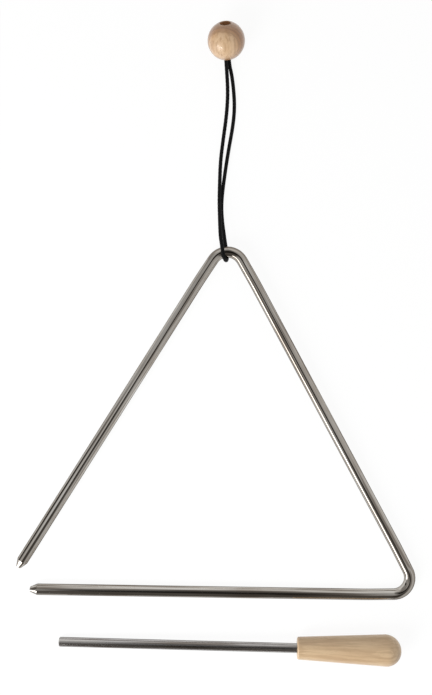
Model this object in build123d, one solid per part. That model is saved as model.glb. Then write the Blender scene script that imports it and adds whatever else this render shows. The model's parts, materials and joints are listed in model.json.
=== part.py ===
from build123d import *
import os
from math import asin, atan2, cos, degrees, hypot, pi, radians, sin, sqrt, tan

# A triangle and its beater laid on a table, in millimetres, with +Z up from the table.
# The base bar and the beater run along X, and the hanging cord runs away along +Y.
# The origin is on the table, under the middle of the outline without the cord.

# Triangle bar. Its sides are measured to the corners where the straight centre lines would meet.
# Each bend is eased: a little way before it, both legs lean in towards it.
BAR_DIAMETER = 6.0
MIDDLE_SIDE = 221.5
BASE_LEG = 212.1
OPEN_LEG = 212.7
APEX_ANGLE = 60.5
CORNER_ANGLE = 60.9
APEX_BEND_RADIUS = 9.2
CORNER_BEND_RADIUS = 8.8
EASE_LENGTH = 30.0
EASE_ANGLE = 1.4
EASE_RADIUS = 300.0
TIP_LENGTH = 4.0
TIP_DIAMETER = 2.7
TIP_ROUND = 0.35

# Hanging cord. Its loop sits a little way round the apex bend, towards the open leg.
CORD_DIAMETER = 2.0
STRAND_GAP = 0.2
LOOP_ANGLE = 9.5
LOOP_CLEARANCE = 0.3
LOOP_LEG = 5.0
LEAVING_RUN = 4.0

# Each strand's route to the bead: right of the loop, away from it, and up from lying flat.
FRONT_ROUTE = [
    (-3.0, 18.5, 4.5),
    (-3.4, 27.5, 2.2),
    (-3.3, 38.0, 1.5),
    (-3.1, 50.0, 0.0),
    (-1.7, 62.5, 0.0),
    (-0.1, 75.5, 0.0),
    (0.4, 87.5, 0.0),
]
REAR_ROUTE = [
    (-2.1, 19.0, 0.0),
    (-2.5, 28.0, 0.0),
    (-1.3, 39.5, 0.0),
    (1.1, 55.5, 0.0),
    (3.4, 69.0, 0.0),
    (4.2, 79.5, 0.0),
    (3.3, 90.5, 0.0),
    (2.1, 98.0, 0.0),
]

# Bead, with a stepped bore that hides the knot. Its place is measured from the loop.
# The two strands pass through it side by side, twisted a little about its bore.
BEAD_DIAMETER = 20.0
BEAD_RIGHT = -1.0
BEAD_AWAY = 112.3
BEAD_ELEVATION = 40.0
BEAD_LEAN = 6.0
PAIR_TWIST = 45.0
BORE_CLEARANCE = 0.35
RIM_ROUND = 0.4
KNOT_DIAMETER = 5.0
KNOT_LENGTH = 4.2
KNOT_DEPTH = 4.5
KNOT_CLEARANCE = 0.4
KNOT_SEAT_GAP = 0.2
KNOT_MARGIN = 0.1

# Beater, with its rod pressed into a blind bore in the handle.
ROD_DIAMETER = 5.0
ROD_REACH = 128.5
ROD_SEAT = 25.0
ROD_CHAMFER = 0.4
HANDLE_LENGTH = 55.6
HANDLE_FRONT_DIAMETER = 11.6
HANDLE_END_DIAMETER = 16.4
HANDLE_ROUND = 0.9
BEATER_SPACING = 28.4
BEATER_INSET = 16.2

OVERRUN = 1.0
TURN_SHARE = 0.45

bar_radius = BAR_DIAMETER / 2
cord_radius = CORD_DIAMETER / 2
bead_radius = BEAD_DIAMETER / 2
rod_radius = ROD_DIAMETER / 2
half_spacing = (CORD_DIAMETER + STRAND_GAP) / 2


def heading(angle):
    """A unit vector in the triangle's plane, at an angle from the base."""
    return Vector(cos(radians(angle)), sin(radians(angle)))


def point(frame, x, y, z):
    """A point given in a frame, as it lies on the table."""
    return (frame * Pos(x, y, z)).position


def tube(path, radius):
    """A round rod along a path of lines and tangent arcs."""
    return sweep((path ^ 0) * Circle(radius), path)


def ease_depth(angle):
    """How far inside a corner its eased legs meet."""
    half = radians(angle / 2)
    return EASE_LENGTH * (cos(half) - sin(half) / tan(half + radians(EASE_ANGLE)))


# The triangle's own plane has its bent base corner at zero.
middle_heading = heading(180 - CORNER_ANGLE)
apex = middle_heading * MIDDLE_SIDE
open_heading = heading(-CORNER_ANGLE - APEX_ANGLE)
open_shoulder = apex + open_heading * (OPEN_LEG - TIP_LENGTH)
base_heading = heading(180)
base_shoulder = base_heading * (BASE_LEG - TIP_LENGTH)
eased_corner = heading(180 - CORNER_ANGLE / 2) * ease_depth(CORNER_ANGLE)

# The apex is propped up by the cord that passes under it, so the triangle tilts on its base.
apex_outward = heading(180 - CORNER_ANGLE - APEX_ANGLE / 2)
eased_apex = apex - apex_outward * ease_depth(APEX_ANGLE)
bend_centre = eased_apex - apex_outward * (APEX_BEND_RADIUS / sin(radians(APEX_ANGLE / 2 + EASE_ANGLE)))
loop_on_bend = bend_centre + heading(90 + LOOP_ANGLE) * APEX_BEND_RADIUS
bar_tilt = degrees(asin((CORD_DIAMETER + LOOP_CLEARANCE) / loop_on_bend.Y))
bar_frame = Pos(0, 0, bar_radius) * Rot(X=bar_tilt)

# The loop's frame runs along the bar, away from the bend and up.
loop_frame = bar_frame * Pos(loop_on_bend.X, loop_on_bend.Y, 0) * Rot(Z=LOOP_ANGLE)
loop = loop_frame.position
loop_offset = bar_radius + LOOP_CLEARANCE + cord_radius

# The bead's frame has its bore along Z, with the knot's end up.
bead_place = Pos(loop.X + BEAD_RIGHT, loop.Y + BEAD_AWAY, bead_radius)
bead_frame = bead_place * Rot(Z=BEAD_LEAN) * Rot(X=BEAD_ELEVATION - 90)
bore_radius = half_spacing + cord_radius + BORE_CLEARANCE
well_radius = KNOT_DIAMETER / 2 + KNOT_CLEARANCE
knot_top = sqrt(bead_radius**2 - well_radius**2) - KNOT_DEPTH
knot_base = knot_top - KNOT_LENGTH
well_floor = knot_base - KNOT_SEAT_GAP


def make_triangle_bar():
    """One round bar bent at two corners, with a coned tip at each side of the open corner."""
    corners = [
        open_shoulder,
        apex + open_heading * EASE_LENGTH,
        eased_apex,
        apex - middle_heading * EASE_LENGTH,
        middle_heading * EASE_LENGTH,
        eased_corner,
        base_heading * EASE_LENGTH,
        base_shoulder,
    ]
    apex_radii = [EASE_RADIUS, APEX_BEND_RADIUS, EASE_RADIUS]
    corner_radii = [EASE_RADIUS, CORNER_BEND_RADIUS, EASE_RADIUS]
    path = FilletPolyline(corners, radius=apex_radii + corner_radii)
    bar = tube(path, bar_radius)
    cone = Cone(bar_radius, TIP_DIAMETER / 2, TIP_LENGTH, align=(Align.CENTER, Align.CENTER, Align.MIN))
    cone = fillet(cone.edges().sort_by(Axis.Z)[-1], TIP_ROUND)
    for shoulder, outward in ((open_shoulder, open_heading), (base_shoulder, base_heading)):
        bar += Plane(origin=shoulder, z_dir=outward) * cone
    return bar_frame * bar


def make_bight():
    """The half turn of cord round the inside of the bar, with a short leg at each end."""
    inward = hypot(loop_offset, half_spacing)
    front_end = (-half_spacing, LOOP_LEG, loop_offset)
    front = (-half_spacing, 0, loop_offset)
    rear = (half_spacing, 0, -loop_offset)
    rear_end = (half_spacing, LOOP_LEG, -loop_offset)
    path = Curve() + [
        Line(front_end, front),
        ThreePointArc(front, (0, -inward, 0), rear),
        Line(rear, rear_end),
    ]
    return loop_frame * tube(path, cord_radius)


def turn_radii(points):
    """The largest arc at each point that its two runs allow."""
    radii = []
    for before, here, after in zip(points, points[1:], points[2:]):
        run_in = here - before
        run_out = after - here
        half_turn = radians(run_in.get_angle(run_out)) / 2
        radii.append(TURN_SHARE * min(run_in.length, run_out.length) / tan(half_turn))
    return radii


def make_strand(name, side, route):
    """A strand from the bight, along the table and up the bead's bore to the knot."""
    sideways = side * half_spacing
    upward = -side * loop_offset
    across = sideways * cos(radians(PAIR_TWIST))
    back = sideways * sin(radians(PAIR_TWIST))
    rise = back * cos(radians(BEAD_ELEVATION)) + cord_radius - bead_radius
    bore_entry = rise / sin(radians(BEAD_ELEVATION))
    points = [
        point(loop_frame, sideways, LOOP_LEG, upward),
        point(loop_frame, sideways, LOOP_LEG + LEAVING_RUN, upward),
        *(Vector(loop.X + right, loop.Y + away, cord_radius + up) for right, away, up in route),
        point(bead_frame, across, back, bore_entry),
        point(bead_frame, across, back, knot_base),
    ]
    radii = turn_radii(points)
    path = FilletPolyline(points, radius=radii)
    strand = tube(path, cord_radius)
    fullness = strand.volume / (pi * cord_radius**2 * path.length)
    print(f"{name}: {path.length:.1f} mm, volume over section times length {fullness:.4f}")
    print("  radii", " ".join(f"{radius:.1f}" for radius in radii))
    return strand


def make_knot():
    """A plain barrel for the knot, flat where the two strands run into it."""
    flat = half_spacing + cord_radius + KNOT_MARGIN
    outline = Curve() + [
        Polyline((flat, 0, knot_top), (0, 0, knot_top), (0, 0, knot_base), (flat, 0, knot_base)),
        ThreePointArc(
            (flat, 0, knot_base),
            (KNOT_DIAMETER / 2, 0, (knot_base + knot_top) / 2),
            (flat, 0, knot_top),
        ),
    ]
    return bead_frame * revolve(make_face(outline), Axis.Z)


def make_bead():
    """A turned ball with a bore for the two strands and a wider well for the knot."""
    bead = Sphere(bead_radius) - Cylinder(bore_radius, BEAD_DIAMETER + OVERRUN)
    well = Cylinder(well_radius, BEAD_DIAMETER, align=(Align.CENTER, Align.CENTER, Align.MIN))
    bead -= Pos(0, 0, well_floor) * well
    ball = bead.faces().filter_by(GeomType.SPHERE)
    bead = fillet(ball.edges().filter_by(lambda edge: edge.is_closed), RIM_ROUND)
    return bead_frame * bead


# The beater rests on the rod's end and on the handle's ball end. Its frame starts at the rod's end.
handle_end_radius = HANDLE_END_DIAMETER / 2
ball_x = ROD_REACH + HANDLE_LENGTH - handle_end_radius
beater_tilt = degrees(asin((handle_end_radius - rod_radius) / ball_x))
beater_place = Pos(BEATER_INSET - BASE_LEG, -BEATER_SPACING, rod_radius * cos(radians(beater_tilt)))
beater_frame = beater_place * Rot(Y=-beater_tilt)
along_beater = Rot(Y=90)


def make_rod():
    """A straight rod, chamfered at both ends."""
    ends = (Align.CENTER, Align.CENTER, Align.MIN)
    rod = Cylinder(rod_radius, ROD_REACH + ROD_SEAT, align=ends)
    rod = chamfer(rod.edges().filter_by(GeomType.CIRCLE), ROD_CHAMFER)
    return beater_frame * along_beater * rod


def make_handle():
    """A turned grip that swells from its front face into a ball end."""
    front_radius = HANDLE_FRONT_DIAMETER / 2
    ball_from_front = ball_x - ROD_REACH
    taper = asin(handle_end_radius / hypot(ball_from_front, front_radius)) - atan2(front_radius, ball_from_front)
    taper_end = (ball_x - handle_end_radius * sin(taper), handle_end_radius * cos(taper))
    tail = (ball_x + handle_end_radius, 0)
    outline = Curve() + [
        Polyline(tail, (ROD_REACH, 0), (ROD_REACH, front_radius), taper_end),
        CenterArc((ball_x, 0), handle_end_radius, 0, 90 + degrees(taper)),
    ]
    handle = revolve(make_face(outline), Axis.X)
    front_rim = handle.edges().filter_by(GeomType.CIRCLE).sort_by(Axis.X)[0]
    handle = fillet(front_rim, HANDLE_ROUND)
    bore = Cylinder(rod_radius, ROD_SEAT + OVERRUN, align=(Align.CENTER, Align.CENTER, Align.MIN))
    handle -= Pos(ROD_REACH - OVERRUN, 0, 0) * along_beater * bore
    return beater_frame * handle


cord = {
    "cord_bight": make_bight(),
    "cord_front_strand": make_strand("front strand", -1, FRONT_ROUTE),
    "cord_rear_strand": make_strand("rear strand", 1, REAR_ROUTE),
    "cord_knot": make_knot(),
}
rigid = {
    "triangle_bar": make_triangle_bar(),
    "bead": make_bead(),
    "beater_rod": make_rod(),
    "beater_handle": make_handle(),
}

boxes = [solid.bounding_box() for solid in rigid.values()]
middle_x = (min(box.min.X for box in boxes) + max(box.max.X for box in boxes)) / 2
middle_y = (min(box.min.Y for box in boxes) + max(box.max.Y for box in boxes)) / 2
os.makedirs("parts", exist_ok=True)
for node, solid in {**cord, **rigid}.items():
    export_step(Pos(-middle_x, -middle_y, 0) * solid, f"parts/{node}.step")
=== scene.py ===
import json
from math import cos, pi, radians, sin

import bpy
import numpy as np
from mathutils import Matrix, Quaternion, Vector


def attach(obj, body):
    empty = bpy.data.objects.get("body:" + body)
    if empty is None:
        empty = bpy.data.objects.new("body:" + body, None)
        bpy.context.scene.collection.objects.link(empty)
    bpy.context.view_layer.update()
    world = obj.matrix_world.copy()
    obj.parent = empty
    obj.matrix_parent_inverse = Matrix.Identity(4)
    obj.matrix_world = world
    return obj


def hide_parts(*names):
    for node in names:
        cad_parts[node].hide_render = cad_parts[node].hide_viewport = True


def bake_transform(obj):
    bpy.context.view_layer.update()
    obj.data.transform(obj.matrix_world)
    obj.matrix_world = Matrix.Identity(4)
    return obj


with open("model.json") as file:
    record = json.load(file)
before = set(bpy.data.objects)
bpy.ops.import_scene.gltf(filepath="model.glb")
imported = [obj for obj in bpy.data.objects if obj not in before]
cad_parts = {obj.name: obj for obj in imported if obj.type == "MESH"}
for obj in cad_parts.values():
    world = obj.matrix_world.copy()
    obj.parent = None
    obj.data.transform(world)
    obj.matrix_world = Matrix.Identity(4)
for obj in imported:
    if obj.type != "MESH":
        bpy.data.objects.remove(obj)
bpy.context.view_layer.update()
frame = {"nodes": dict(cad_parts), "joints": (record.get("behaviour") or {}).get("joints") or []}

MM = 0.001
scene = bpy.context.scene

# Places and directions that the record gives, in metres.
JOINTS = {joint["name"]: joint for joint in frame["joints"]}
LOOP = Vector(JOINTS["cord_lift"]["pos_m"])
LOOP_ALONG = Vector(JOINTS["cord_lift"]["axis"]).normalized()
LOOP_UP = Vector(JOINTS["cord_sway"]["axis"]).normalized()
LOOP_OUT = LOOP_UP.cross(LOOP_ALONG).normalized()
BEAD = Vector(JOINTS["bead_spin"]["pos_m"])
BORE = Vector(JOINTS["bead_spin"]["axis"]).normalized()
BORE_SIDE = BORE.cross(Vector((0, 0, 1))).normalized()
BORE_BACK = BORE.cross(BORE_SIDE).normalized()

# The camera looks straight down on the table, as in the photograph.
CAMERA_PLACE = Vector((-1.827, -2.383, 475.0)) * MM
CAMERA_TURN = radians(0.898)
CAMERA_SENSOR = 36.0
CAMERA_LENS = 45.17
CAMERA_NEAR = 0.01
CAMERA_FAR = 20.0

# The cord's own sizes, in millimetres, as in the part's source.
CORD_DIAMETER = 2.0
HALF_SPACING = 1.1
LOOP_OFFSET = 4.3
LOOP_INWARD = 4.44
LOOP_LEG = 5.0
LEAVING_RUN = 4.0
PAIR_TWIST = radians(45.0)
KNOT_BASE = 0.87
KNOT_TOP = 5.07

# Each strand's route from the loop to the bead, in millimetres: right of the loop, away from it, and up from
# lying flat.
FRONT_ROUTE = [
    (-3.0, 18.5, 4.5),
    (-3.4, 27.5, 2.2),
    (-3.3, 38.0, 1.5),
    (-3.1, 50.0, 0.0),
    (-1.7, 62.5, 0.0),
    (-0.1, 75.5, 0.0),
    (0.4, 87.5, 0.0),
]
REAR_ROUTE = [
    (-1.85, 19.0, 0.0),
    (-2.2, 28.0, 0.0),
    (-1.05, 39.5, 0.0),
    (1.1, 55.5, 0.0),
    (3.4, 69.0, 0.0),
    (4.2, 79.5, 0.0),
    (3.3, 90.5, 0.0),
    (2.1, 98.0, 0.0),
]

# The half turn round the inside of the bar, in the loop's own directions: along, outward, up.
TURN_SHARE = 0.41421
TURN = [
    (-HALF_SPACING, -LOOP_INWARD * TURN_SHARE, LOOP_OFFSET),
    (-HALF_SPACING * TURN_SHARE, -LOOP_INWARD, LOOP_OFFSET * TURN_SHARE),
    (HALF_SPACING * TURN_SHARE, -LOOP_INWARD, -LOOP_OFFSET * TURN_SHARE),
    (HALF_SPACING, -LOOP_INWARD * TURN_SHARE, -LOOP_OFFSET),
]

# The knot, in millimetres: a trefoil's reach and rise, and the points of its two tails, sideways, backwards
# and up from its top. The points of TAIL_END go back in proportion to the lean of the tail on each side.
KNOT_REACH = 0.60
KNOT_RISE = 1.32
KNOT_YARN = 1.5
KNOT_STEPS = 144
TAIL_ROOT = [(0.55, 0.1, -2.4), (0.75, 0.2, -1.0)]
TAIL_END = [(0.95, 1.0, 0.2), (1.15, 1.5, 1.1)]
TAIL_LEANS = [(-1, 0.5), (1, -0.4)]

# Points of a spline for each of its control points.
CORD_RESOLUTION = 48
TAIL_RESOLUTION = 16

# A round braid: cells round the cord, the length of a cell, how deep the gaps between yarns are, how far a
# yarn dips at its ends, and the height at which the cord has its plain diameter.
BRAID_CELLS = 6
BRAID_PITCH = 1.05 * MM
BRAID_DEPTH = 0.08 * MM
BRAID_DIP = 0.45
BRAID_LEVEL = 0.6
BRAID_SIDES = 36

# The cut end of a braid: how far it bulges, as a share of the diameter, and its height.
CUT_BULGE = 0.125
CUT_HEIGHT = 0.5


def by_loop(along, outward, up):
    return LOOP + (LOOP_ALONG * along + LOOP_OUT * outward + LOOP_UP * up) * MM


def by_bead(side, back, up):
    return BEAD + (BORE_SIDE * side + BORE_BACK * back + BORE * up) * MM


def strand(side, route):
    """A strand's points, from the loop to the knot. The front strand's side is -1, the rear one's is 1."""
    sideways, upward = side * HALF_SPACING, -side * LOOP_OFFSET
    lying = CORD_DIAMETER / 2 * MM
    points = [by_loop(sideways, LOOP_LEG, upward), by_loop(sideways, LOOP_LEG + LEAVING_RUN, upward)]
    for right, away, up in route:
        points.append(Vector((LOOP.x + right * MM, LOOP.y + away * MM, lying + up * MM)))
    across, back = sideways * cos(PAIR_TWIST), sideways * sin(PAIR_TWIST)
    bore_entry = (lying - by_bead(across, back, 0).z) / BORE.z / MM
    points += [by_bead(across, back, bore_entry), by_bead(across, back, KNOT_BASE)]
    return points


def along_spline(points, resolution):
    """Points along a smooth spline that has these points as its control points."""
    data = bpy.data.curves.new("line", "CURVE")
    data.dimensions = "3D"
    data.resolution_u = resolution
    spline = data.splines.new("NURBS")
    spline.points.add(len(points) - 1)
    for control, place in zip(spline.points, points):
        control.co = (*place, 1.0)
    spline.order_u = 3
    spline.use_endpoint_u = True
    line = bpy.data.objects.new("line", data)
    mesh = bpy.data.meshes.new_from_object(line)
    found = np.array([vertex.co for vertex in mesh.vertices], float)
    bpy.data.objects.remove(line)
    bpy.data.curves.remove(data)
    bpy.data.meshes.remove(mesh)
    return found


def unit(rows):
    return rows / np.linalg.norm(rows, axis=-1, keepdims=True)


def carried_frames(points, closed):
    """Tangent, side and up directions along a line, carried on without twist."""
    if closed:
        tangents = unit(np.roll(points, -1, 0) - np.roll(points, 1, 0))
    else:
        tangents = unit(np.gradient(points, axis=0))
    side = np.cross(tangents[0], (0.0, 0.0, 1.0))
    sides = []
    for tangent in tangents:
        side = unit(side - tangent * (side @ tangent))
        sides.append(side)
    sides = np.array(sides)
    return tangents, sides, np.cross(tangents, sides)


def braid_height(turn, run):
    """From 0 in the gaps to 1 on top of a yarn. Yarns cross over and under by turns."""
    one = turn * BRAID_CELLS / 2 + run / BRAID_PITCH / 2
    two = turn * BRAID_CELLS / 2 - run / BRAID_PITCH / 2
    over = (np.floor(one) + np.floor(two)) % 2 == 0
    across = np.where(over, one, two) % 1 * 2 - 1
    lengthwise = np.where(over, two, one) % 1 * 2 - 1
    return np.sqrt(np.clip(1 - across**2, 0, 1)) * (1 - BRAID_DIP * lengthwise**2)


def braided_tube(points, diameter, closed=False):
    """Vertices, faces and yarn heights of a braided tube along a line."""
    tangents, sides, ups = carried_frames(points, closed)
    steps = np.linalg.norm(np.diff(points, axis=0), axis=1)
    run = np.concatenate([[0.0], np.cumsum(steps)])
    turn = np.arange(BRAID_SIDES) / BRAID_SIDES
    height = braid_height(turn[None, :], run[:, None])
    radius = diameter / 2 - BRAID_DEPTH * (BRAID_LEVEL - height)
    angle = (turn * 2 * pi)[None, :, None]
    spokes = sides[:, None, :] * np.cos(angle) + ups[:, None, :] * np.sin(angle)
    vertices = (points[:, None, :] + spokes * radius[:, :, None]).reshape(-1, 3).tolist()
    height = height.reshape(-1).tolist()
    rings = len(points)
    faces = []
    for ring in range(rings if closed else rings - 1):
        low, high = ring * BRAID_SIDES, (ring + 1) % rings * BRAID_SIDES
        for spoke in range(BRAID_SIDES):
            after = (spoke + 1) % BRAID_SIDES
            faces.append((low + spoke, low + after, high + after, high + spoke))
    if not closed:
        for ring, way in ((0, -1), (rings - 1, 1)):
            first, centre = ring * BRAID_SIDES, len(vertices)
            vertices.append((points[ring] + tangents[ring] * way * diameter * CUT_BULGE).tolist())
            height.append(CUT_HEIGHT)
            for spoke in range(BRAID_SIDES):
                this, after = first + spoke, first + (spoke + 1) % BRAID_SIDES
                faces.append((this, after, centre) if way > 0 else (after, this, centre))
    return vertices, faces, height


def braided_piece(name, tubes, material):
    """One piece made of several braided tubes."""
    vertices, faces, heights = [], [], []
    for tube_vertices, tube_faces, tube_heights in tubes:
        start = len(vertices)
        vertices += tube_vertices
        faces += [tuple(start + index for index in face) for face in tube_faces]
        heights += tube_heights
    mesh = bpy.data.meshes.new(name)
    mesh.from_pydata(vertices, [], faces)
    mesh.polygons.foreach_set("use_smooth", [True] * len(faces))
    yarn_height = mesh.attributes.new("yarn", "FLOAT", "POINT")
    yarn_height.data.foreach_set("value", heights)
    mesh.materials.append(material)
    mesh.update()
    piece = bpy.data.objects.new(name, mesh)
    scene.collection.objects.link(piece)
    return piece


# The colour sockets of a Mix node, which has a set of sockets for each type of data.
MIX_SHARE, MIX_A, MIX_B, MIX_RESULT = 0, 6, 7, 2


class Nodes:
    """A node tree, with a short call for each kind of node that is used here."""

    def __init__(self, tree):
        self.tree = tree

    def add(self, kind, settings=None, inputs=None):
        node = self.tree.nodes.new(kind)
        for key, value in (settings or {}).items():
            setattr(node, key, value)
        self.fill(node, inputs or {})
        return node

    def fill(self, node, inputs):
        """Links each socket to the output given for it, or sets the plain value given for it."""
        for key, value in inputs.items():
            if isinstance(value, bpy.types.NodeSocket):
                self.tree.links.new(value, node.inputs[key])
            else:
                node.inputs[key].default_value = value

    def coordinates(self, kind):
        return self.add("ShaderNodeTexCoord").outputs[kind]

    def math(self, operation, a, b=0.0):
        return self.add("ShaderNodeMath", {"operation": operation}, {0: a, 1: b}).outputs[0]

    def plus(self, a, b):
        return self.math("ADD", a, b)

    def minus(self, a, b):
        return self.math("SUBTRACT", a, b)

    def times(self, a, b):
        return self.math("MULTIPLY", a, b)

    def vector(self, operation, a, b=(0, 0, 0)):
        node = self.add("ShaderNodeVectorMath", {"operation": operation}, {0: a, 1: b})
        return node.outputs["Value" if operation in ("DOT_PRODUCT", "LENGTH") else "Vector"]

    def scaled(self, a, factor):
        node = self.add("ShaderNodeVectorMath", {"operation": "SCALE"}, {0: a, "Scale": factor})
        return node.outputs["Vector"]

    def span(self, value, low, high, to_low=0.0, to_high=1.0, kind="SMOOTHSTEP"):
        """Maps what lies from low to high to what lies from to_low to to_high, and goes no further."""
        inputs = {0: value, 1: low, 2: high, 3: to_low, 4: to_high}
        return self.add("ShaderNodeMapRange", {"interpolation_type": kind}, inputs).outputs[0]

    def noise(self, place, scale, detail=2.0, roughness=0.5):
        inputs = {"Vector": place, "Scale": scale, "Detail": detail, "Roughness": roughness}
        return self.add("ShaderNodeTexNoise", inputs=inputs).outputs["Fac"]

    def blend(self, share, a, b):
        """A colour that is a where the share is 0 and b where it is 1."""
        node = self.add("ShaderNodeMix", {"data_type": "RGBA"}, {MIX_SHARE: share, MIX_A: a, MIX_B: b})
        return node.outputs[MIX_RESULT]

    def bump(self, height, distance):
        inputs = {"Height": height, "Distance": distance, "Strength": 1.0}
        return self.add("ShaderNodeBump", inputs=inputs).outputs["Normal"]


def new_material(name):
    material = bpy.data.materials.new(name)
    material.use_nodes = True
    nodes = Nodes(material.node_tree)
    return material, nodes, material.node_tree.nodes["Principled BSDF"]


def opaque(red, green, blue):
    return (red, green, blue, 1.0)


def grey(level):
    return opaque(level, level, level)


def dress(node, material):
    """Gives a CAD node this material alone."""
    slots = frame["nodes"][node].data.materials
    slots.clear()
    slots.append(material)


# Yarn: the scales of its patterns in cells per metre, the ranges of each in which it shows, and its colours,
# with painted shade in the gaps between yarns and a paler top on each yarn.
YARN_FIBRE_SCALE = 9000.0
YARN_WORN_SCALE = 260.0
YARN_LIT_TOP_SHOWS = (0.45, 1.0)
YARN_FIBRE_SHOWS = (0.3, 0.75)
YARN_WORN_SHOWS = (0.5, 0.75)
YARN_WORN_SHARE = 0.35
YARN_RELIEF = 0.03 * MM
YARN_SHADED_GAP = opaque(0.0015, 0.0015, 0.0016)
YARN_LIT_TOP = opaque(0.010, 0.010, 0.0105)
YARN_WORN = opaque(0.014, 0.0135, 0.013)


def cord_material():
    """Matt black yarn with fine fibres, a little paler on top of each strand, with painted shade in the gaps
    between its yarns.
    """
    material, nodes, shader = new_material("cord_yarn_braid")
    place = nodes.coordinates("Object")
    height = nodes.add("ShaderNodeAttribute", {"attribute_name": "yarn"}).outputs["Fac"]
    fibre = nodes.noise(place, YARN_FIBRE_SCALE, detail=3.0, roughness=0.6)
    worn = nodes.noise(place, YARN_WORN_SCALE)
    # painted shade: darker in the gaps between yarns and paler on their tops, by the yarn height
    top = nodes.times(nodes.span(height, *YARN_LIT_TOP_SHOWS), nodes.span(fibre, *YARN_FIBRE_SHOWS))
    colour = nodes.blend(top, YARN_SHADED_GAP, YARN_LIT_TOP)
    worn_share = nodes.span(worn, *YARN_WORN_SHOWS, to_high=YARN_WORN_SHARE)
    nodes.fill(
        shader,
        {
            "Base Color": nodes.blend(worn_share, colour, YARN_WORN),
            "Roughness": nodes.span(fibre, 0.2, 0.8, to_low=0.62, to_high=0.85),
            "Normal": nodes.bump(fibre, YARN_RELIEF),
            "Specular IOR Level": 0.18,
            "Sheen Weight": 0.03,
            "Sheen Roughness": 0.5,
        },
    )
    return material


def along_leg(direction, shift=(0.0, 0.0, 0.0)):
    """Squeezes space along a straight leg, so that a pattern is drawn out along it.

    shift says where in the pattern the leg starts, so that the legs differ.
    """

    def squeezed(nodes, place, squeeze):
        run = nodes.vector("DOT_PRODUCT", place, direction)
        shortened = nodes.scaled(direction, nodes.times(run, squeeze))
        return nodes.vector("SUBTRACT", nodes.vector("ADD", place, shift), shortened)

    return squeezed


def round_bend(centre, outward, up, radius):
    """Squeezes space round a bend, so that a pattern follows the bend."""
    ways = (outward, up.cross(outward), up)

    def squeezed(nodes, place, squeeze):
        offset = nodes.vector("SUBTRACT", place, centre)
        out, left, above = (nodes.vector("DOT_PRODUCT", offset, way) for way in ways)
        reach = nodes.math("SQRT", nodes.plus(nodes.times(out, out), nodes.times(left, left)))
        run = nodes.times(nodes.math("ARCTAN2", left, out), radius * (1 - squeeze))
        return nodes.add("ShaderNodeCombineXYZ", inputs={"X": reach, "Y": above, "Z": run}).outputs[0]

    return squeezed


# Plate: how far its die lines and its streaks are drawn out along the bar, the scales of its patterns in
# cells per metre, the ranges of each in which it shows, how much it then shows, and its colours.
DIE_LINE_SQUEEZE = 0.9965
DIE_LINE_SCALE = 1700.0
STREAK_SQUEEZE = 0.982
STREAK_SCALE = 760.0
DRAWN_ROUGHNESS = 0.55
SMEAR_SCALE = 55.0
GRIT_SCALE = 5200.0
SMEAR_SHOWS = (0.38, 0.68)
DARK_STREAK_SHOWS = (0.50, 0.64)
PALE_STREAK_SHOWS = (0.46, 0.34)
PIT_SHOWS = (0.73, 0.80)
DARK_STREAK_SHARE = 0.75
PALE_STREAK_SHARE = 0.55
PIT_SHARE = 0.6
SMEAR_HAZE = 0.04
DIE_LINE_HAZE = 0.035
PIT_DEPTH = 0.8
PLATE_RELIEF = 0.009 * MM
DARK_STREAK = opaque(0.15, 0.12, 0.095)
PALE_STREAK = opaque(0.70, 0.68, 0.645)
PIT = opaque(0.16, 0.14, 0.12)
EDGE_TINT = grey(0.15)


def plated_material(name, tone, stain, polish, first, others=()):
    """Nickel plate on drawn bar: die lines along the bar, soft smears and a few pits.

    first squeezes space along the bar's first stretch. others gives its other legs and bends, and where each
    takes over from those before it: an axis and two places on it.
    """
    material, nodes, shader = new_material(name)
    place = nodes.coordinates("Object")

    def drawn(squeeze, scale, detail):
        def own(squeezed):
            return nodes.noise(squeezed(nodes, place, squeeze), scale, detail, DRAWN_ROUGHNESS)

        pattern = own(first)
        for squeezed, (axis, start, end) in others:
            share = nodes.span(nodes.vector("DOT_PRODUCT", place, axis), start, end)
            change = nodes.times(share, nodes.minus(own(squeezed), pattern))
            pattern = nodes.plus(pattern, change)
        return pattern

    lines = drawn(DIE_LINE_SQUEEZE, DIE_LINE_SCALE, detail=3.0)
    streaks = drawn(STREAK_SQUEEZE, STREAK_SCALE, detail=2.0)
    smear = nodes.noise(place, SMEAR_SCALE, detail=4.0, roughness=0.6)
    pit = nodes.span(nodes.noise(place, GRIT_SCALE), *PIT_SHOWS)
    colour = nodes.blend(nodes.span(smear, *SMEAR_SHOWS), tone, stain)
    dark = nodes.span(streaks, *DARK_STREAK_SHOWS, to_high=DARK_STREAK_SHARE)
    colour = nodes.blend(dark, colour, DARK_STREAK)
    pale = nodes.span(streaks, *PALE_STREAK_SHOWS, to_high=PALE_STREAK_SHARE)
    colour = nodes.blend(pale, colour, PALE_STREAK)
    smear_haze = nodes.span(smear, 0.3, 0.75, to_high=SMEAR_HAZE)
    line_haze = nodes.span(lines, 0.3, 0.7, to_high=DIE_LINE_HAZE)
    relief = nodes.minus(lines, nodes.times(pit, PIT_DEPTH))
    nodes.fill(
        shader,
        {
            "Base Color": nodes.blend(nodes.times(pit, PIT_SHARE), colour, PIT),
            "Roughness": nodes.plus(nodes.plus(smear_haze, line_haze), polish),
            "Normal": nodes.bump(relief, PLATE_RELIEF),
            "Metallic": 1.0,
            "Specular Tint": EDGE_TINT,
        },
    )
    return material
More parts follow.
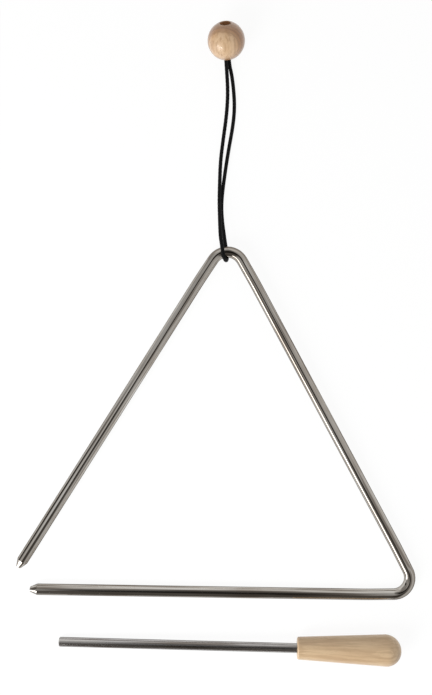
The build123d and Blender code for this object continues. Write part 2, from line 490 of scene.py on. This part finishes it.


# Wood: the cells of each pattern per millimetre, twice across the grain and once along it, the ranges of
# each in which it shows, how much it then shows, and the colours of the dark heartwood, which is painted
# shade as well, and of the bore wall, whose darker colour is painted shade in the hole.
ACROSS_GRAIN = (1, 1, 0)
WAVER_CELLS = (0.14, 0.14, 0.02)
FIBRE_CELLS = (5.0, 5.0, 0.16)
BAND_CELLS = (0.8, 0.8, 0.022)
RAY_CELLS = (3.4, 3.4, 0.55)
BROAD_CELLS = (0.12, 0.12, 0.03)
RING_WIDTH = 1.7
RING_WAVER = 1.6
LATE_GROWS = (0.35, 0.93)
LATE_STOPS = (0.94, 1.0)
BROAD_SHOWS = (0.35, 0.65)
BAND_SHOWS = (0.46, 0.66)
FIBRE_SHOWS = (0.42, 0.75)
FLECK_SHOWS = (0.62, 0.70)
LATE_SHARE = 0.36
LATE_OUTSIDE_SHADED_HEART = 0.08
BAND_SHARE = 0.56
FIBRE_SHARE = 0.4
FLECK_SHARE = 0.24
SHADED_HEART_SHARE = 0.88
SHADED_HEART_RING_SHARE = 0.6
END_GRAIN_REACH = (9.5, 4.5)
END_GRAIN_WAVER = 2.5
END_GRAIN_SHARE = 0.55
BORE_EDGE = (0.25, -0.1)
BORE_SHADE_SHARE = 0.85
FIBRE_HEIGHT = 0.7
FLECK_DEPTH = 0.3
WOOD_RELIEF = 0.012 * MM
SHADED_HEART = opaque(0.385, 0.155, 0.042)
SHADED_HEART_RING = opaque(0.15, 0.055, 0.016)
BORE_WALL_SHADE = opaque(0.58, 0.30, 0.135)


def wood_material(name, origin, grain, from_pith, pale, deep, fleck, lacquer, bore=0.0, shaded_heart=None):
    """Oiled beech: growth rings about a pith to one side, long fibres and short ray flecks.

    from_pith is the origin's place from the pith, in millimetres, with the grain as its third axis. bore is
    the radius of a hole along the grain at the origin, whose wall gets a darker colour as painted shade.
    shaded_heart gives the distances from the pith at which the dark heartwood starts and is full; it lies on
    the side away from the lamps, so it is painted shade as well as heartwood.
    """
    material, nodes, shader = new_material(name)
    place = nodes.coordinates("Object")
    turn = grain.to_track_quat("Z", "Y").inverted()
    mapping = {
        "Vector": place,
        "Scale": (1 / MM,) * 3,
        "Rotation": turn.to_euler(),
        "Location": Vector(from_pith) - (turn @ origin) / MM,
    }
    own = nodes.add("ShaderNodeMapping", {"vector_type": "POINT"}, mapping).outputs["Vector"]

    def grained(cells, detail, roughness=0.5):
        return nodes.noise(nodes.vector("MULTIPLY", own, cells), 1.0, detail, roughness)

    def off_axis(offset):
        return nodes.vector("LENGTH", nodes.vector("MULTIPLY", offset, ACROSS_GRAIN))

    waver = grained(WAVER_CELLS, detail=3.0)
    fibre = grained(FIBRE_CELLS, detail=3.0, roughness=0.6)
    band = grained(BAND_CELLS, detail=3.0, roughness=0.65)
    broad = grained(BROAD_CELLS, detail=2.0)
    flecks = nodes.span(grained(RAY_CELLS, detail=1.0, roughness=0.4), *FLECK_SHOWS)
    radius = off_axis(own)
    growth = nodes.plus(nodes.math("DIVIDE", radius, RING_WIDTH), nodes.times(waver, RING_WAVER))
    season = nodes.math("FRACT", growth)
    late = nodes.times(nodes.span(season, *LATE_GROWS), nodes.span(season, *LATE_STOPS, 1.0, 0.0))
    colour = nodes.blend(nodes.span(broad, *BROAD_SHOWS), pale, deep)
    # Painted shade: the dark heartwood and its dark rings fall on the side away from the lamps.
    if shaded_heart:
        into_shaded_heart = nodes.span(nodes.plus(radius, waver), *shaded_heart)
        colour = nodes.blend(nodes.times(into_shaded_heart, SHADED_HEART_SHARE), colour, SHADED_HEART)
        colour = nodes.blend(nodes.times(nodes.times(late, into_shaded_heart), SHADED_HEART_RING_SHARE), colour, SHADED_HEART_RING)
        late = nodes.times(late, nodes.plus(into_shaded_heart, LATE_OUTSIDE_SHADED_HEART))
    colour = nodes.blend(nodes.times(late, LATE_SHARE), colour, fleck)
    colour = nodes.blend(nodes.span(band, *BAND_SHOWS, to_high=BAND_SHARE), colour, fleck)
    colour = nodes.blend(nodes.span(fibre, *FIBRE_SHOWS, to_high=FIBRE_SHARE), colour, deep)
    colour = nodes.blend(nodes.times(flecks, FLECK_SHARE), colour, fleck)
    if bore:
        off = off_axis(nodes.vector("SUBTRACT", own, from_pith))
        end_grain = nodes.span(nodes.plus(off, nodes.times(waver, END_GRAIN_WAVER)), *END_GRAIN_REACH)
        colour = nodes.blend(nodes.times(end_grain, END_GRAIN_SHARE), colour, fleck)
        # Painted shade: the bore wall gets a darker colour, where the hole lies in shadow.
        bore_shade = nodes.span(off, bore + BORE_EDGE[0], bore + BORE_EDGE[1], to_high=BORE_SHADE_SHARE)
        colour = nodes.blend(bore_shade, colour, BORE_WALL_SHADE)
    relief = nodes.minus(nodes.times(fibre, FIBRE_HEIGHT), nodes.times(flecks, FLECK_DEPTH))
    nodes.fill(
        shader,
        {
            "Base Color": colour,
            "Roughness": nodes.span(fibre, 0.25, 0.75, to_low=0.34, to_high=0.50),
            "Normal": nodes.bump(relief, WOOD_RELIEF),
            "Specular IOR Level": 0.45,
            "Coat Weight": lacquer,
            "Coat Roughness": 0.26,
            "Coat IOR": 1.6,
        },
    )
    return material


camera_data = bpy.data.cameras.new("camera")
camera_data.sensor_width = CAMERA_SENSOR
camera_data.lens = CAMERA_LENS
camera_data.clip_start = CAMERA_NEAR
camera_data.clip_end = CAMERA_FAR
camera = bpy.data.objects.new("camera", camera_data)
camera.location = CAMERA_PLACE
camera.rotation_euler = (0.0, 0.0, CAMERA_TURN)
scene.collection.objects.link(camera)
scene.camera = camera
scene.view_settings.view_transform = "Standard"

# Cord: one length, from the knot down the front strand, round the bar and back up the rear strand.
yarn = cord_material()
route = strand(-1, FRONT_ROUTE)[::-1] + [by_loop(*turn) for turn in TURN] + strand(1, REAR_ROUTE)
cord_line = along_spline(route, CORD_RESOLUTION)
cord = braided_piece("hanging_cord", [braided_tube(cord_line, CORD_DIAMETER * MM)], yarn)
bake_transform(cord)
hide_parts("cord_bight", "cord_front_strand", "cord_rear_strand")

# Knot: an overhand turn pulled tight, with the two cut ends standing out of it.
knot_middle = (KNOT_BASE + KNOT_TOP) / 2
knot_line = np.array(
    [
        by_bead(
            KNOT_REACH * (sin(angle) + 2 * sin(2 * angle)),
            KNOT_REACH * (cos(angle) - 2 * cos(2 * angle)),
            knot_middle - KNOT_RISE * sin(3 * angle),
        )
        for angle in np.arange(KNOT_STEPS) * 2 * pi / KNOT_STEPS
    ]
)
knot_tubes = [braided_tube(knot_line, KNOT_YARN * MM, closed=True)]
for side, lean in TAIL_LEANS:
    tail = [by_bead(side * out, side * back, KNOT_TOP + up) for out, back, up in TAIL_ROOT]
    tail += [by_bead(side * out, lean * back, KNOT_TOP + up) for out, back, up in TAIL_END]
    knot_tubes.append(braided_tube(along_spline(tail, TAIL_RESOLUTION), KNOT_YARN * MM))
knot = braided_piece("hanging_cord_knot", knot_tubes, yarn)
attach(knot, "cord")
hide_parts("cord_knot")

# Plated steel: the triangle's three legs and two bends, and the beater's rod.
TRIANGLE_TILT = radians(0.717)
BEATER_TILT = radians(1.857)
APEX_ANGLE = 60.5
CORNER_ANGLE = 60.9


def in_triangle(degrees):
    """A direction in the tilted plane of the triangle, at an angle from the direction of +X."""
    angle = radians(degrees)
    return Vector((cos(angle), sin(angle) * cos(TRIANGLE_TILT), sin(angle) * sin(TRIANGLE_TILT)))


BASE_LEG = in_triangle(180)
MIDDLE_LEG = in_triangle(180 - CORNER_ANGLE)
OPEN_LEG = in_triangle(-CORNER_ANGLE - APEX_ANGLE)
APEX_OUT = in_triangle(180 - CORNER_ANGLE - APEX_ANGLE / 2)
CORNER_OUT = in_triangle(-CORNER_ANGLE / 2)
BEATER_ALONG = Vector((cos(BEATER_TILT), 0, sin(BEATER_TILT)))

# Where the pattern starts on each leg, and where one leg's pattern takes over from another's.
MIDDLE_SHIFT = (1.3, 0.2, 0.7)
BASE_SHIFT = (0.2, 0.9, 0.4)
ROD_SHIFT = (0.37, 0.0, 0.0)
OPEN_TAKES_OVER = ((-1, 0, 0), -7.5 * MM, -0.5 * MM)
BASE_TAKES_OVER = ((0, -1, 0), 125.5 * MM, 131.0 * MM)

# The bends, as in the part's source, and how far each fades into its legs.
APEX_CENTRE = Vector((3.614, 39.914, 5.186)) * MM
APEX_RADIUS = 9.2 * MM
CORNER_CENTRE = Vector((96.144, -125.533, 3.115)) * MM
CORNER_RADIUS = 8.8 * MM
BEND_FADE = 2.0 * MM


def bend(centre, outward, radius):
    """A bend, which takes over from its two legs where it starts and ends."""
    ends = centre.dot(outward) + radius / 2
    return round_bend(centre, outward, LOOP_UP, radius), (outward, ends - BEND_FADE, ends + BEND_FADE)


dress(
    "triangle_bar",
    plated_material(
        "bar_steel_plate",
        tone=opaque(0.48, 0.45, 0.41),
        stain=opaque(0.41, 0.37, 0.325),
        polish=0.045,
        first=along_leg(MIDDLE_LEG, MIDDLE_SHIFT),
        others=[
            (along_leg(OPEN_LEG), OPEN_TAKES_OVER),
            (along_leg(BASE_LEG, BASE_SHIFT), BASE_TAKES_OVER),
            bend(APEX_CENTRE, APEX_OUT, APEX_RADIUS),
            bend(CORNER_CENTRE, CORNER_OUT, CORNER_RADIUS),
        ],
    ),
)
dress(
    "beater_rod",
    plated_material(
        "rod_steel_plate",
        tone=opaque(0.455, 0.44, 0.432),
        stain=opaque(0.395, 0.375, 0.363),
        polish=0.16,
        first=along_leg(BEATER_ALONG, ROD_SHIFT),
    ),
)

# Beech: the bead's grain runs along its bore, the handle's along the beater.
HANDLE_FRONT = Vector((44.25, -163.087, 6.663)) * MM
dress(
    "bead",
    wood_material(
        "bead_wood_beech",
        origin=BEAD,
        grain=BORE,
        # the pith is placed so that the dark heartwood lies on the bead's upper right, away from the lamps,
        # as painted shade
        from_pith=(7.0, 21.0, 95.0),
        pale=opaque(0.82, 0.57, 0.345),
        deep=opaque(0.70, 0.405, 0.19),
        fleck=opaque(0.42, 0.225, 0.105),
        lacquer=1.0,
        bore=2.95,
        shaded_heart=(31.2, 27.2),
    ),
)
dress(
    "beater_handle",
    wood_material(
        "handle_wood_beech",
        origin=HANDLE_FRONT,
        grain=BEATER_ALONG,
        from_pith=(9.0, 34.0, 0.0),
        pale=opaque(0.745, 0.548, 0.34),
        deep=opaque(0.665, 0.463, 0.277),
        fleck=opaque(0.50, 0.33, 0.19),
        lacquer=0.3,
    ),
)

# Floor: white to the eye and in reflections, and it keeps part of the shadow.
FLOOR_REACH = 3.0
FLOOR_GLOW = 1.05
FLOOR_GLOW_SHARE = 0.88
PAPER = {"Base Color": opaque(0.88, 0.88, 0.875), "Roughness": 0.95, "Specular IOR Level": 0.1}
WHITE = grey(1.0)


def floor_material():
    """Pale paper, which glows white to the camera, in mirrors and through glass."""
    material, nodes, shader = new_material("floor_paper")
    nodes.fill(shader, PAPER)
    rays = nodes.add("ShaderNodeLightPath").outputs
    seen = nodes.math("MAXIMUM", rays["Is Glossy Ray"], rays["Is Transmission Ray"])
    seen = nodes.math("MAXIMUM", rays["Is Camera Ray"], seen)
    glow = nodes.add("ShaderNodeEmission", inputs={"Color": WHITE, "Strength": FLOOR_GLOW}).outputs[0]
    share = nodes.times(seen, FLOOR_GLOW_SHARE)
    mixed = nodes.add("ShaderNodeMixShader", inputs={0: share, 1: shader.outputs[0], 2: glow})
    nodes.fill(material.node_tree.nodes["Material Output"], {"Surface": mixed.outputs[0]})
    return material


floor_corners = [(x * FLOOR_REACH, y * FLOOR_REACH, 0) for x, y in ((-1, -1), (1, -1), (1, 1), (-1, 1))]
floor_mesh = bpy.data.meshes.new("floor")
floor_mesh.from_pydata(floor_corners, [], [(0, 1, 2, 3)])
floor_mesh.materials.append(floor_material())
floor_piece = bpy.data.objects.new("floor", floor_mesh)
scene.collection.objects.link(floor_piece)

# Light: a room that the metal mirrors, from its dim left to its bright right, a little paler along the floor.
ROOM_LEFT, ROOM_RIGHT = grey(0.46), grey(0.78)
SKIRTING_LEFT, SKIRTING_RIGHT = grey(0.52), grey(0.84)
SKIRTING_TOP = 0.5
ROOM_ON_MATT = 0.72

# Patches of the room, by the X and Y of the direction in which they are seen: the centre, half the width and
# depth, the squares of the reach at which the soft edge starts and ends, and the colour.
ROOM_PATCHES = [
    # a pale wall beyond the bead
    ((0.0, 1.0), (0.75, 0.45), (1.2, 0.5), grey(0.95)),
    # a pale stretch of ceiling on the left
    ((-0.48, 0.0), (0.24, 0.18), (1.3, 0.4), grey(0.76)),
    # a dark gap low on the left
    ((-0.90, 0.21), (0.14, 0.13), (1.3, 0.6), opaque(0.08, 0.075, 0.07)),
    # a dim side before the beater
    ((0.0, -0.62), (0.42, 0.48), (1.3, 0.6), opaque(0.12, 0.11, 0.10)),
    # a dim stretch of ceiling towards the bead
    ((-0.01, 0.30), (0.19, 0.50), (1.5, 0.3), opaque(0.24, 0.235, 0.23)),
    # a dark opening overhead
    ((-0.02, -0.03), (0.16, 0.36), (1.4, 0.5), opaque(0.026, 0.024, 0.022)),
]


def light_room(world):
    """Paints the room. Matt surfaces get less light from it, and the camera sees plain white."""
    world.use_nodes = True
    nodes = Nodes(world.node_tree)
    direction = nodes.coordinates("Generated")
    parts = nodes.add("ShaderNodeSeparateXYZ", inputs={"Vector": direction}).outputs
    rightward = nodes.span(parts["X"], -1.0, 1.0, kind="LINEAR")
    room = nodes.blend(rightward, ROOM_LEFT, ROOM_RIGHT)
    skirting = nodes.blend(rightward, SKIRTING_LEFT, SKIRTING_RIGHT)
    room = nodes.blend(nodes.span(parts["Z"], 0.0, SKIRTING_TOP), skirting, room)
    for centre, (half_width, half_depth), soft_edge, colour in ROOM_PATCHES:
        offset = nodes.vector("SUBTRACT", direction, (*centre, 0))
        inside = nodes.vector("MULTIPLY", offset, (1 / half_width, 1 / half_depth, 0))
        reach = nodes.vector("DOT_PRODUCT", inside, inside)
        room = nodes.blend(nodes.span(reach, *soft_edge), room, colour)
    rays = nodes.add("ShaderNodeLightPath").outputs
    nodes.fill(
        world.node_tree.nodes["Background"],
        {
            "Color": nodes.blend(rays["Is Camera Ray"], room, WHITE),
            "Strength": nodes.span(rays["Is Diffuse Ray"], 0.0, 1.0, 1.0, ROOM_ON_MATT, "LINEAR"),
        },
    )


def soft_box(name, place, width, height, radiance, mirrored, roll=0.0):
    """A rectangular lamp that faces the object, rolled about its own axis by degrees."""
    data = bpy.data.lights.new(name, "AREA")
    data.shape = "RECTANGLE"
    data.size = width
    data.size_y = height
    data.energy = radiance * pi * width * height
    lamp = bpy.data.objects.new(name, data)
    lamp.location = place
    lamp.rotation_mode = "QUATERNION"
    facing = (-Vector(place)).to_track_quat("-Z", "Y")
    lamp.rotation_quaternion = facing @ Quaternion((0, 0, 1), radians(roll))
    lamp.visible_glossy = mirrored
    scene.collection.objects.link(lamp)


scene.world = bpy.data.worlds.new("room")
light_room(scene.world)
soft_box(
    "soft_strip",
    place=(-0.560, -0.556, 0.264),
    width=0.66,
    height=0.28,
    radiance=4.3,
    mirrored=True,
    roll=14.0,
)
soft_box("soft_key", place=(-0.33, -0.36, 0.42), width=0.30, height=0.30, radiance=7.9, mirrored=False)

bpy.context.view_layer.update()
